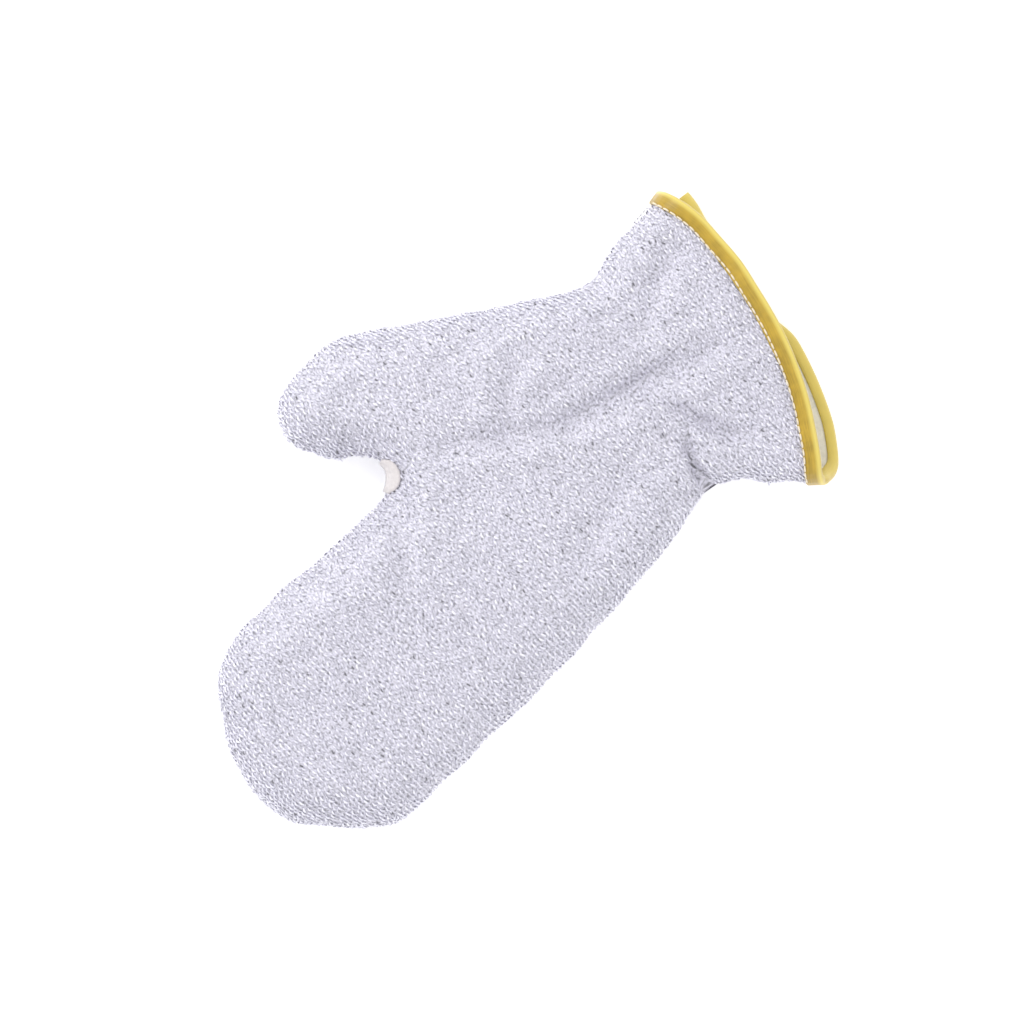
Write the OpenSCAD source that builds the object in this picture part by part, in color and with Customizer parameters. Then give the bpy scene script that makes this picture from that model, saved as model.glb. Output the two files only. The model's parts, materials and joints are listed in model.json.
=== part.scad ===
// Lined cleaning mitt knitted from metallised yarn: one pocket for the fingers,
// a thumb, an elasticated wrist and a flared cuff with a satin-bound hem.
// Frame: +Y runs from the cuff to the fingertips, +X is the thumb side, +Z is the
// palm side. The mitt lies on Z = 0 with the origin under the middle of its box.

/* [Pocket] */
// Width of the finger pocket as it lies, filled out
pocket_w = 95.6; // [70:0.2:120]
// From the wrist to the fingertip
hand_len = 217; // [160:1:260]
// Length of the rounded fingertip end
tip_len = 43; // [25:1:60]
// Roundness of the fingertip outline, 2 is an ellipse
tip_round = 1.75; // [1.5:0.05:2.5]
// Thickness over the palm
palm_t = 36; // [24:1:48]
// Thickness where the fingertip end begins
tip_t = 31; // [20:1:42]

/* [Thumb] */
// Length from the wrist notch to the thumb tip
thumb_len = 125; // [95:1:150]
// Width of the thumb
thumb_w = 50; // [36:0.5:60]
// Lean of the thumb away from the fingers, in degrees
thumb_lean = 34.6; // [20:0.2:45]
// Length of the rounded thumb end
thumb_tip_len = 37; // [20:1:50]
// Roundness of the thumb outline, 2 is an ellipse
thumb_round = 2.1; // [1.6:0.05:2.6]
// Thickness of the thumb
thumb_t = 30; // [20:1:40]

/* [Wrist and cuff] */
// Width of the gathered wrist
wrist_w = 87.4; // [65:0.2:110]
// Thickness of the gathered wrist
wrist_t = 29; // [18:1:38]
// Slant of the wrist and cuff, in degrees
cuff_slant = 16.5; // [0:0.5:25]
// Straight length of the cuff's side seams, along the cuff
cuff_len = 39; // [25:0.5:60]
// Width of the cuff between its two hem corners
hem_w = 123; // [95:0.5:150]
// Thickness of the open mouth
hem_t = 26; // [16:1:34]
// Bulge of the front hem past the line between its corners
hem_bulge = 15; // [5:0.5:25]
// How much further out the back hem lies than the front hem
back_drop = 5.5; // [2:0.5:9]

/* [Cloth] */
// Thickness of the knitted shell cloth
shell_t = 1.8; // [1:0.1:3]
// Thickness of the brushed liner cloth
liner_t = 1.2; // [0.6:0.1:2]
// Room for the turned-in seam allowances at the sides, between shell and liner
seam_room = 3.6; // [2.5:0.1:5]
// Height of the side seam above the table
seam_z = 15; // [10:0.5:20]
// Thickness of a pair of seam allowances
allowance_t = 2.4; // [1.2:0.1:3.5]
// Width of the liner's own seam allowances
liner_allowance_w = 2.6; // [1.5:0.1:4]

/* [Trims] */
// Width of the wrist elastic
elastic_w = 10; // [5:0.5:16]
// Thickness of the wrist elastic
elastic_t = 1.0; // [0.6:0.1:1.8]
// Visible width of the satin hem binding
binding_w = 5.6; // [4:0.2:10]
// Thickness of the folded satin
binding_t = 0.7; // [0.4:0.05:1.2]
// Thickness of the sewing threads
thread_t = 0.35; // [0.2:0.05:0.6]
// Length of one stitch
stitch_len = 2.6; // [1.6:0.1:4]
// Length of the bar tack that closes the side seam at the hem
tack_len = 7; // [4:0.5:12]

/* [Clearances] */
// Gap between cloth layers that lie on each other
layer_gap = 0.3; // [0.2:0.05:0.6]
// Gap between the two sides of a fold line
fold_gap = 0.8; // [0.6:0.1:1.6]

/* [Folds] */
// Distance from the wrist to the line where the fingers fold
finger_fold_y = 120; // [100:1:150]
// Distance from the wrist line to the line where the cuff folds
cuff_fold_c = 8; // [6:0.5:14]
// Distance from the wrist to the crotch of the thumb
crotch_y = 93; // [75:1:110]

/* [Hidden] */

shell_colour = [0.85, 0.85, 0.89];
liner_colour = [0.95, 0.93, 0.87];
satin_colour = [0.80, 0.64, 0.26];
thread_colour = [0.93, 0.84, 0.62];
white_colour = [0.95, 0.95, 0.95];

RING = 28;            // points round one ring of a tube
BOXY = 0.72;          // 1 gives an elliptical section, less gives a fuller one
FLAT = 2;             // depth of the underside that the table flattens
POCKET_SHIFT = 0.02;  // the pocket lies this share of its width off the wrist's middle
UNDER = -5;           // a height below everything
CORE = 0.8;           // size of the rings that join a tube's stretches
ARC = 120;            // sides of the discs that cut the hem arcs
FAR = 400;            // further than any piece reaches
TIP_STEPS = [0, 22, 40, 55, 68, 78, 86, 90];
hem_lift = 1.6;       // the binding holds the hem this far off the table

// Layers, as insets from the outside: [at the sides, above and below]
OUTSIDE = [0, 0];
SHELL_IN = [shell_t, shell_t];
LINER_OUT = [shell_t + seam_room, shell_t + layer_gap];
LINER_IN = LINER_OUT + [liner_t, liner_t];
ELASTIC_OUT = LINER_IN + [layer_gap, layer_gap];
ELASTIC_IN = ELASTIC_OUT + [elastic_t, elastic_t];

// The wrist's middle, seen before the origin is moved under the box
across = [cos(cuff_slant), -sin(cuff_slant)];
along = [sin(cuff_slant), cos(cuff_slant)];
notch = across * wrist_w / 2;
thumb_dir = [sin(thumb_lean), cos(thumb_lean)];
thumb_out = [cos(thumb_lean), -sin(thumb_lean)];

// The fold lines: half their gap, where the thumb parts from the pocket, where the cuff starts
g = fold_gap / 2;
crotch = [pocket_w / 2 - pocket_w * POCKET_SHIFT + 1.6, crotch_y];
cuff_start = -along * cuff_fold_c;

// Hem arcs: both are centred on the cuff's middle line
hem_r = (pow(hem_w / 2, 2) + pow(hem_bulge, 2)) / (2 * hem_bulge);
hem_centre = along * (hem_r - hem_bulge - cuff_len);
back_r = hem_r + back_drop;
bind_out = binding_t + layer_gap;

// A station is [middle, turn, half width, height above the seam, depth below it]
function flare(c) = wrist_w / 2 + (hem_w - wrist_w) / 2 * c / cuff_len;

function dome(a, p) = pow(max(0, 1 - pow(sin(a), p)), 1 / p);

function pocket_stations(i) =
    let (base = hand_len - tip_len, half = pocket_w / 2 - i[0], drop = seam_z - i[1] + FLAT,
         shift = -pocket_w * POCKET_SHIFT)
    concat(
        [[[0, 0], -cuff_slant, wrist_w / 2 - i[0], wrist_t - seam_z - i[1], drop],
         [[shift * 0.4, 11], -cuff_slant * 0.5, wrist_w / 2 + 0.6 - i[0],
          wrist_t + 2 - seam_z - i[1], drop],
         [[shift * 0.8, 26], -cuff_slant * 0.15, half - 1.2,
          (wrist_t + palm_t) / 2 + 1.2 - seam_z - i[1], drop],
         [[shift, base * 0.29], 0, half, palm_t - 0.6 - seam_z - i[1], drop],
         [[shift, base * 0.45], 0, half, palm_t - seam_z - i[1], drop],
         [[shift, base * 0.65], 0, half, palm_t - 0.6 - seam_z - i[1], drop],
         [[shift, base * 0.85], 0, half, (palm_t + tip_t) / 2 + 0.6 - seam_z - i[1], drop]],
        [for (a = TIP_STEPS)
            let (k = dome(a, tip_round), kz = dome(a, 2.4))
            [[shift, base + (tip_len - i[0]) * sin(a)], 0, max(0.4, half * k),
             max(0.4, (tip_t - seam_z - i[1]) * kz), max(0.4, drop * kz)]]);

function cuff_stations(i) =
    let (drop = seam_z - i[1])
    concat(
        [core([along * cuff_len * 0.2, -cuff_slant, wrist_w / 2 - i[0], wrist_t - seam_z - i[1], drop],
              [[0, 0], -cuff_slant, wrist_w / 2 - i[0], wrist_t - seam_z - i[1], drop])],
        [for (c = [0, 0.3, 0.65, 1, 1.35, 1.7] * cuff_len)
            let (k = c / cuff_len, rise = wrist_t + (hem_t - wrist_t) * min(1, k))
            [-along * c, -cuff_slant, flare(c) - i[0], rise - seam_z - i[1],
             drop + FLAT - (FLAT + hem_lift) * min(1, k)]]);

function thumb_at(s, n) = notch + thumb_dir * s + thumb_out * n;

function thumb_stations(i) =
    let (base = thumb_len - thumb_tip_len, half = thumb_w / 2 - i[0],
         rise = thumb_t - seam_z - i[1], drop = seam_z - i[1] + FLAT)
    concat(
        [[thumb_at(2, -thumb_w * 0.46), -thumb_lean, thumb_w * 0.36 - i[0],
          wrist_t - 1 - seam_z - i[1], drop],
         [thumb_at(base * 0.24, -thumb_w * 0.5), -thumb_lean, half - 0.6,
          (wrist_t + thumb_t) / 2 - seam_z - i[1], drop],
         [thumb_at(base * 0.55, -thumb_w * 0.5), -thumb_lean, half, rise + 0.8, drop],
         [thumb_at(base * 0.9, -thumb_w * 0.5), -thumb_lean, half, rise, drop]],
        [for (a = TIP_STEPS)
            let (k = dome(a, thumb_round), kz = dome(a, 2.4))
            [thumb_at(base + (thumb_tip_len - i[0]) * sin(a), -thumb_w * 0.5), -thumb_lean,
             max(0.4, half * k), max(0.4, rise * kz), max(0.4, drop * kz)]]);

// One ring of a tube: a full, rounded section that is widest at the seam
function ring(s) =
    [for (j = [0 : RING - 1])
        let (a = 360 * j / RING, c = cos(a), z = sin(a),
             x = sign(c) * pow(abs(c), BOXY) * s[2],
             h = sign(z) * pow(abs(z), BOXY) * (z > 0 ? s[3] : s[4]))
        [s[0][0] + x * cos(s[1]), s[0][1] + x * sin(s[1]), seam_z + h]];

// The finished box, which puts the origin under its middle
function corner_c(r, n = 8) =
    n == 0 ? cuff_len
           : let (c = corner_c(r, n - 1))
             sqrt(max(1, r * r - pow(flare(c) + bind_out, 2))) - (hem_r - hem_bulge - cuff_len);
hem_corner = corner_c(back_r + bind_out);
x_low = -across[0] * (flare(hem_corner) + bind_out) - along[0] * hem_corner;
x_high = max([for (s = thumb_stations(OUTSIDE)) for (p = ring(s)) p[0]]);
y_low = hem_centre[1] - back_r - bind_out;
y_high = hand_len;
origin = [(x_low + x_high) / 2, (y_low + y_high) / 2];

// A smaller ring a third of the way to the next station, well inside the tube
function core(a, b) =
    [(a[0] * 2 + b[0]) / 3, (a[1] * 2 + b[1]) / 3,
     each [for (k = [2 : 4]) (a[k] * 2 + b[k]) / 3 * CORE]];

// A tube through a row of stations, each stretch reaching a little into the next
module tube(stations) {
    last = len(stations) - 1;
    for (i = [0 : last - 1]) {
        points = concat(ring(stations[i]), ring(stations[i + 1]),
                        ring(core(stations[i + 1], stations[min(i + 2, last)])));
        hull() polyhedron(points = points, faces = [[for (j = [0 : len(points) - 1]) j]]);
    }
}

// Everything inside one layer's inset, filled: pocket, thumb and cuff together
module filled(i) {
    intersection() {
        union() {
            tube(pocket_stations(i));
            tube(thumb_stations(i));
            tube(cuff_stations(i));
        }
        between(max(0, i[1]), FAR);
    }
}

module layer(outer, inner) {
    difference() {
        filled(outer);
        filled(inner);
    }
}

module prism(points, low = UNDER, high = FAR) {
    translate([0, 0, low]) linear_extrude(height = high - low) polygon(points);
}

// The four regions that the fold lines divide the mitt into
module cuff_region() {
    prism([cuff_start - along * g - across * FAR, cuff_start - along * g + across * FAR,
           cuff_start - along * FAR + across * FAR, cuff_start - along * FAR - across * FAR]);
}

module fingers_region() {
    prism([[-FAR, finger_fold_y + g], [crotch[0], finger_fold_y + g], [crotch[0], FAR], [-FAR, FAR]]);
}

module thumb_region() {
    prism([notch + [g, 0], notch + [FAR, 0], [FAR, FAR], [crotch[0] + g, FAR], crotch + [g, 0]]);
}

module hand_region() {
    prism([cuff_start - across * FAR, cuff_start + across * FAR, notch + across * FAR,
           notch - [g, 0], crotch - [g, 0], [crotch[0] - g, finger_fold_y - g], [-FAR, finger_fold_y - g]]);
}

module between(low, high) { translate([-FAR, -FAR, low]) cube([2 * FAR, 2 * FAR, high - low]); }

module hem_disc(r, low = UNDER, high = FAR) {
    translate([hem_centre[0], hem_centre[1], low]) cylinder(r = r, h = high - low, $fn = ARC);
}

// All that lies inside a hem arc: the disc on the cuff's side, everything past the wrist
module inside_hem(r, low = UNDER, high = FAR) {
    hem_disc(r, low, high);
    prism([-across * FAR, across * FAR, (across + along) * FAR, (along - across) * FAR], low, high);
}

// The two panels' halves of the mitt, each ending at its own hem arc
module front_half() { inside_hem(hem_r, seam_z, FAR); }

module back_half() { inside_hem(back_r, UNDER, seam_z); }

module placed(colour) {
    color(colour) translate([-origin[0], -origin[1], 0]) children();
}

module shell_panel() {
    placed(shell_colour) intersection() {
        layer(OUTSIDE, SHELL_IN);
        children(0);
        children(1);
    }
}

module liner_panel() {
    placed(liner_colour) intersection() {
        layer(LINER_OUT, LINER_IN);
        children(0);
        children(1);
    }
}

module shell_front_hand() { shell_panel() { front_half(); hand_region(); } }
module shell_front_fingers() { shell_panel() { front_half(); fingers_region(); } }
module shell_front_thumb() { shell_panel() { front_half(); thumb_region(); } }
module shell_front_cuff() { shell_panel() { front_half(); cuff_region(); } }
module shell_back_hand() { shell_panel() { back_half(); hand_region(); } }
module shell_back_fingers() { shell_panel() { back_half(); fingers_region(); } }
module shell_back_thumb() { shell_panel() { back_half(); thumb_region(); } }
module shell_back_cuff() { shell_panel() { back_half(); cuff_region(); } }

module liner_front_hand() { liner_panel() { front_half(); hand_region(); } }
module liner_front_fingers() { liner_panel() { front_half(); fingers_region(); } }
module liner_front_thumb() { liner_panel() { front_half(); thumb_region(); } }
module liner_front_cuff() { liner_panel() { front_half(); cuff_region(); } }
module liner_back_hand() { liner_panel() { back_half(); hand_region(); } }
module liner_back_fingers() { liner_panel() { back_half(); fingers_region(); } }
module liner_back_thumb() { liner_panel() { back_half(); thumb_region(); } }
module liner_back_cuff() { liner_panel() { back_half(); cuff_region(); } }

// Turned-in cloth edges with their overlock thread, a flat ring along the side seam
module allowance(outer, inner, thick, colour) {
    placed(colour) intersection() {
        layer(outer, inner);
        between(seam_z - thick / 2, seam_z + thick / 2);
        inside_hem(hem_r - binding_w - layer_gap);
        children();
    }
}

module shell_allowance() {
    allowance([shell_t + layer_gap, shell_t], [shell_t + seam_room - layer_gap, shell_t],
              allowance_t, shell_colour) children();
}

module liner_allowance() {
    allowance([LINER_IN[0] + layer_gap, LINER_IN[1]],
              [LINER_IN[0] + layer_gap + liner_allowance_w, LINER_IN[1]],
              allowance_t * liner_t / shell_t, liner_colour) children();
}

// The wrist ring that the elastic and its stitching keep clear of the liner's seam
module wrist_slab(width) {
    prism([-along * width / 2 - across * FAR, -along * width / 2 + across * FAR,
           along * width / 2 + across * FAR, along * width / 2 - across * FAR]);
}

module shell_seam_hand() { shell_allowance() hand_region(); }
module shell_seam_fingers() { shell_allowance() fingers_region(); }
module shell_seam_thumb() { shell_allowance() thumb_region(); }
module shell_seam_cuff() { shell_allowance() cuff_region(); }
module liner_seam_hand() {
    liner_allowance() difference() { hand_region(); wrist_slab(elastic_w + 2 * layer_gap); }
}
module liner_seam_fingers() { liner_allowance() fingers_region(); }
module liner_seam_thumb() { liner_allowance() thumb_region(); }
module liner_seam_cuff() { liner_allowance() cuff_region(); }

module wrist_elastic() {
    placed(white_colour) intersection() {
        layer(ELASTIC_OUT, ELASTIC_IN);
        wrist_slab(elastic_w);
    }
}

// Zigzag stitches that hold the stretched elastic, on its inner face
module elastic_stitching() {
    step = stitch_len * 3;
    count = floor(wrist_w / 2 / step) - 1;
    placed(white_colour) intersection() {
        layer(ELASTIC_IN, ELASTIC_IN + [thread_t, thread_t]);
        wrist_slab(elastic_w * 0.8);
        for (k = [-count : count])
            translate([across[0] * step * k, across[1] * step * k, 0])
                rotate(-cuff_slant + 20 * (k % 2 == 0 ? 1 : -1))
                    translate([-thread_t, -elastic_w, 0])
                        cube([2 * thread_t, elastic_w * 2, FAR]);
    }
}

// The satin strip folded over both cloths: outer leaf, edge and inner leaf
module binding_half(r, low, high) {
    intersection() {
        difference() {
            layer([-bind_out, -bind_out], LINER_IN + [bind_out, bind_out]);
            intersection() {
                layer([-layer_gap, -layer_gap], LINER_IN + [layer_gap, layer_gap]);
                hem_disc(r + layer_gap);
            }
        }
        difference() {
            hem_disc(r + bind_out, low, high);
            hem_disc(r - binding_w, low, high);
        }
        translate(-[FAR * along[0], FAR * along[1], 0]) rotate(-cuff_slant)
            translate([-FAR, 0, UNDER]) cube([2 * FAR, FAR, FAR]);
    }
}

module hem_binding() {
    placed(satin_colour) {
        binding_half(hem_r, seam_z, FAR);
        binding_half(back_r, UNDER, seam_z);
    }
}

// Topstitching near the inner edge of the binding
module binding_stitching() {
    out = bind_out + thread_t;
    line_r = hem_r - binding_w + 1.1;
    turn = stitch_len * 1.5 / hem_r * 180 / PI;
    count = floor(asin(hem_w / 2 / hem_r) / turn) - 1;
    placed(thread_colour) intersection() {
        layer([-out, -out], [-bind_out, -bind_out]);
        between(seam_z + hem_t / 6, FAR);
        difference() {
            hem_disc(line_r + thread_t);
            hem_disc(line_r - thread_t);
        }
        for (k = [-count : count])
            translate([hem_centre[0], hem_centre[1], seam_z]) rotate(-cuff_slant - 90 + k * turn)
                translate([0, -stitch_len / 2, 0]) cube([FAR, stitch_len, FAR]);
    }
}

// Close zigzag that locks the thumb-side seam just inside the binding
module bar_tack() {
    start = cuff_len - binding_w - 2;
    placed(white_colour) intersection() {
        layer([-thread_t * 2, -thread_t * 2], [0, 0]);
        between(seam_z - shell_t, seam_z + shell_t);
        for (k = [0 : 2 * thread_t * 2 : tack_len])
            translate([-along[0] * (start - k), -along[1] * (start - k), 0])
                rotate(-cuff_slant) cube([FAR, thread_t * 2, FAR]);
    }
}

shell_front_hand();
shell_front_fingers();
shell_front_thumb();
shell_front_cuff();
shell_back_hand();
shell_back_fingers();
shell_back_thumb();
shell_back_cuff();
liner_front_hand();
liner_front_fingers();
liner_front_thumb();
liner_front_cuff();
liner_back_hand();
liner_back_fingers();
liner_back_thumb();
liner_back_cuff();
shell_seam_hand();
shell_seam_fingers();
shell_seam_thumb();
shell_seam_cuff();
liner_seam_hand();
liner_seam_fingers();
liner_seam_thumb();
liner_seam_cuff();
wrist_elastic();
elastic_stitching();
hem_binding();
binding_stitching();
bar_tack();
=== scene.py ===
"""The looks of a lined cleaning mitt, knitted from metallised yarn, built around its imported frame.

Lengths in the script are millimetres until a mesh is written. The knit, the liner and the trims
all follow one form: the mitt's outline, filled out above and below the height of its side seam.
"""

import functools
import json
import math

import bpy
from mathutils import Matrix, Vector
import numpy as np


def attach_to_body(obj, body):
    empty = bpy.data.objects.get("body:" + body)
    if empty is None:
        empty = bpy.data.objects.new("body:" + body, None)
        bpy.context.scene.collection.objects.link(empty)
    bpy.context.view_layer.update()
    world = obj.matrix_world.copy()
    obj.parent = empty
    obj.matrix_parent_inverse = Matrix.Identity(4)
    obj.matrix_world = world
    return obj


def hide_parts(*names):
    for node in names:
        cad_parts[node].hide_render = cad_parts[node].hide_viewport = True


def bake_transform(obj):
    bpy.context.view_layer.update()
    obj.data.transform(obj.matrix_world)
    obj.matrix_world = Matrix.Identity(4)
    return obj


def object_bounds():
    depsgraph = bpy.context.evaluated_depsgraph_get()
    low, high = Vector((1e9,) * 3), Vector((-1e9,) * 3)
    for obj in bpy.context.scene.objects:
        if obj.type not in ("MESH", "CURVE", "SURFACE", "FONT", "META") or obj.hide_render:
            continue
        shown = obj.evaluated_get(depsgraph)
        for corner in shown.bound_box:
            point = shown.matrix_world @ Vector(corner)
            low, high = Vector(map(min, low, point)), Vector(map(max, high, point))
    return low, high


bl_info = {
    "name": "Knitted cleaning mitt",
    "version": (1, 0, 0),
    "blender": (4, 5, 0),
    "location": "3D View > Sidebar > Mitt",
    "description": "Builds the looks of a lined cleaning mitt around its packed frame",
    "category": "Add Mesh",
}

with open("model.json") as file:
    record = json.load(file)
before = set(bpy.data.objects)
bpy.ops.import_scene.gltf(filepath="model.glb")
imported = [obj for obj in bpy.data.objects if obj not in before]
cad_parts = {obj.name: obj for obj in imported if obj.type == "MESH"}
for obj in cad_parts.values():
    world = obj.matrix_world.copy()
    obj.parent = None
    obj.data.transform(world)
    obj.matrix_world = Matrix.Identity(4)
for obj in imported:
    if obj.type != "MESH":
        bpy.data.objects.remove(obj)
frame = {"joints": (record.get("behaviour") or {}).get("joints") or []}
CAD_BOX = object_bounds()
MM = 0.001

FRONT, BACK = "front", "back"
REGIONS = ("hand", "fingers", "thumb", "cuff")

# The side seam as the mitt lies, from beyond the hem on the thumb side, over the thumb and the
# fingertips, to beyond the hem on the little finger's side
OUTLINE = [
    (40, -172), (38.5, -150), (37.4, -130), (36.6, -108), (33.6, -90.5), (36, -81.5), (43, -71),
    (53.5, -55), (65.5, -37.5), (77, -21.5), (86, -7.5), (89, 5), (88, 18), (83.6, 29.6), (72.5, 35),
    (60, 31), (51, 23), (45.5, 17.5), (40, 16), (35.3, 18.6), (32, 25), (31.8, 36), (33, 57), (34.9, 80),
    (34.8, 101), (28.2, 118), (10.8, 131.6), (-4, 138), (-16.5, 140.1), (-28.4, 138), (-39, 131),
    (-57, 113.5), (-60.6, 98), (-61.6, 62), (-62.4, 28), (-61.6, -3), (-59.6, -32), (-57, -49),
    (-55.6, -58), (-54.2, -64.4), (-56, -69.2), (-61, -75), (-70.8, -83.8), (-85.2, -98), (-101, -117),
    (-118, -138), (-60, -190),
]

# Places with a known fullness: across, along, height above the seam, width of the rounded edge
FULLNESS = [
    (0, -132, 10.5, 11), (-48, -112, 10.5, 11), (-13, -77, 13, 13), (-15, -35, 18.5, 19),
    (25, -45, 15, 16), (-15, 20, 20.5, 21), (-15, 70, 20, 21), (-15, 115, 16, 20),
    (50, -15, 15, 18), (72, 10, 14, 18),
]

# Folds pressed into the front: points along the valley, depth, half width, how much painted shade darkens its
# loops
FOLDS = [
    ([(30, -3), (14, -26), (2, -45), (-6, -69), (-9, -79), (-15, -97), (-18, -106)], 4.2, 4.6, 0.2),
    ([(-19, -76), (-30, -79), (-44, -84), (-50, -90)], 3.8, 3.0, 0.25),
    ([(-33, -74), (-37.3, -69.8), (-44.6, -66), (-52, -65), (-58, -65), (-66, -63)], 3.4, 1.9, 1.3),
    ([(37, 9), (25, 21), (12, 33), (0, 45)], 2.4, 4.6, 0.15),
    ([(33, -50), (26, -37), (14, -24)], 2.2, 4.6, 0.1),
    ([(-28, -50), (-34, -28), (-38, -6)], 2.0, 6.0, 0.0),
    ([(8, -60), (16, -42), (22, -30)], 2.4, 4.4, 0.1),
    ([(8, -92), (14, -106), (17, -120)], 2.0, 4.6, 0.1),
    ([(44, -58), (50, -40), (54, -26)], 1.6, 5.0, 0.05),
    ([(38, 2), (50, 12), (62, 24)], 1.0, 5.0, 0.1),
]


def srgb(code):
    """A colour given as sRGB hex, as the linear values that Blender works with."""
    parts = [int(code[k:k + 2], 16) / 255 for k in (0, 2, 4)]
    return [c / 12.92 if c <= 0.04045 else ((c + 0.055) / 1.055) ** 2.4 for c in parts] + [1.0]


def length(name, description, default):
    """A length in mm that a user can change."""
    return bpy.props.FloatProperty(name=name, description=description + ", in mm", default=default)


def paint(name, description, code):
    """A colour that a user can change, from its sRGB hex."""
    return bpy.props.FloatVectorProperty(name=name, description=description, subtype="COLOR", size=4,
                                         min=0, max=1, default=srgb(code))


class MittForm(bpy.types.PropertyGroup):
    """How the filled mitt lies."""

    grid: length("Cloth grid", "Side of the cells that the cloths are built from", 1.4)
    gather: length("Gathers", "Height of the gathers that the wrist elastic makes", 1.5)
    wrist_dip: length("Wrist dip", "How deep the elastic draws the cloth in", 1.6)
    shell: length("Shell cloth", "Thickness of the knitted shell cloth", 1.8)
    liner: length("Liner cloth", "Thickness of the brushed liner cloth", 1.2)
    seed: bpy.props.IntProperty(name="Seed", description="Seed of the folds' irregularity", default=7)


class MittKnit(bpy.types.PropertyGroup):
    """The knitted shell cloth."""

    wale: length("Wale spacing", "Distance between loops across the mitt", 2.12)
    course: length("Course spacing", "Distance between rows along the mitt", 1.74)
    yarn: length("Yarn width", "Width of the yarn where a loop crosses", 0.95)
    colour: paint("Yarn", "Colour of the metallised yarn", "E9E8F3")
    # the ground is the same yarn as the loops, coloured darker as painted shade between them
    ground: paint("Ground", "Colour of the cloth between the loops", "D2D0DC")
    lining: paint("Liner", "Colour of the brushed liner", "F1EDE0")


class MittTrims(bpy.types.PropertyGroup):
    """Binding, elastic and threads."""

    binding: length("Binding width", "Visible width of the satin binding", 5.3)
    elastic: length("Elastic width", "Width of the wrist elastic", 10.0)
    thread: length("Thread", "Thickness of the sewing threads", 0.45)
    stitch: length("Stitch", "Length of one stitch", 2.6)
    satin: paint("Satin", "Colour of the golden satin", "B09024")
    satin_fold: paint("Satin fold", "Colour of the satin where light passes through its fold", "E2CE68")


class MittStage(bpy.types.PropertyGroup):
    """Table, light and camera."""

    picture: length("Picture width", "Width that the camera takes in", 389.1)
    turn: bpy.props.FloatProperty(
        name="Camera turn", description="Turn of the camera about the vertical",
        subtype="ANGLE", default=math.radians(-135.5))
    lens: length("Lens", "Focal length", 135.0)
    table: paint("Table", "Colour of the table", "FAFAFA")


def settings(group):
    return getattr(bpy.context.scene, "mitt_" + group)


# ---- Form ----

JOINTS = {j["name"]: j for j in frame["joints"]}


def unit(vectors):
    """The vectors, each made one long."""
    return vectors / np.linalg.norm(vectors, axis=-1, keepdims=True)


def square_to(vectors, normals):
    """The vectors without what lies along the normals, each made one long."""
    return unit(vectors - normals * (vectors * normals).sum(-1, keepdims=True))


def column(values):
    """A row of numbers stood up, to go with rows of coordinates."""
    return np.asarray(values)[:, None]


def joint_place(name):
    """A joint's position and the direction of its axis, in plan, in mm."""
    joint = JOINTS[name]
    return np.array(joint["pos_m"][:2]) / MM, np.array(joint["axis"][:2])


CUFF_AT, _axis = joint_place("cuff_fold")
ACROSS = -unit(_axis)                               # towards the thumb side, along the wrist
ALONG = np.array([-ACROSS[1], ACROSS[0]])           # from the hem towards the fingers
WRIST_AT = CUFF_AT + 8 * ALONG                      # the middle of the elastic
THUMB_AT, _axis = joint_place("thumb_fold")
THUMB_OUT = unit(np.array([-_axis[1], _axis[0]]))
FINGER_Y = joint_place("finger_fold")[0][1]
FINGER_RUN = 27.5    # how far short of the finger fold the fingers' region begins

HEM_CENTRE = np.array([9.6, -0.3])
HEM_R = 133.6
SEAM_Z = 15.0        # height of the side seam above the table
BACK_RISE = 14.9     # how far the back bulges down from the seam, nearly to the table
# Free end of the binding, which leaves the back hem: bearing in degrees, how far it hangs out
FREE_END = np.array([(-91, 0.6), (-86, 3.0), (-83.5, 5.6), (-81.3, 7.0)])
# The hem seen from its centre: bearing in degrees, how far the front and the back hang out
HEM = np.array([
    (-135, 0.2, 0.2), (-134.3, 0.0, 0.8), (-133.6, -1.0, 3.2), (-133, -1.6, 4.8), (-132, -1.9, 6.2),
    (-130, -2.0, 6.7), (-125, -2.4, 6.6), (-120, -2.3, 5.3), (-115, -2.3, 4.1), (-110, -2.2, 3.0),
    (-107, -2.1, 0.0), (-105, -2.1, -2.1), (-100, -1.8, -1.9), (-95, -0.6, -0.9), (-90, -0.2, 1.0),
    (-86, 0.9, 2.4), (-83.5, 1.0, 2.6), (-81.6, 0.9, 2.2), (-80, 0.7, 1.2), (-78, 0.4, 0.2),
])
FIELD_REACH = 28.0   # how far a known fullness spreads
OUTLINE_STEP = 1.5
TABLE_GAP = 0.05     # what keeps the cloth off the table
HEM_LIFT = 1.25      # room under the back hem for the binding
QUARTER = math.pi / 2


def spline(points, step):
    """A closed smooth line through the points, as points about one step apart."""
    p = np.array(points, float)
    made = []
    for k in range(len(p)):
        a, b, c, d = (p[(k + i) % len(p)] for i in (-1, 0, 1, 2))
        count = max(2, int(np.linalg.norm(c - b) / step))
        t = np.linspace(0, 1, count, endpoint=False)[:, None]
        made.append(0.5 * (2 * b + (c - a) * t + (2 * a - 5 * b + 4 * c - d) * t**2
                           + (3 * b - a - 3 * c + d) * t**3))
    return np.concatenate(made)


def waves(rng, count, longest, shortest):
    """Seeded directions, lengths and phases of plane waves, for slow unevenness."""
    return [(rng.uniform(0, math.tau), math.tau / rng.uniform(shortest, longest), rng.uniform(0, math.tau))
            for _ in range(count)]


def swell(found, at):
    """The sum of plane waves at points, from -1 to 1."""
    total = sum(np.sin((at[:, 0] * math.cos(a) + at[:, 1] * math.sin(a)) * k + p) for a, k, p in found)
    return total / len(found)


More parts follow.
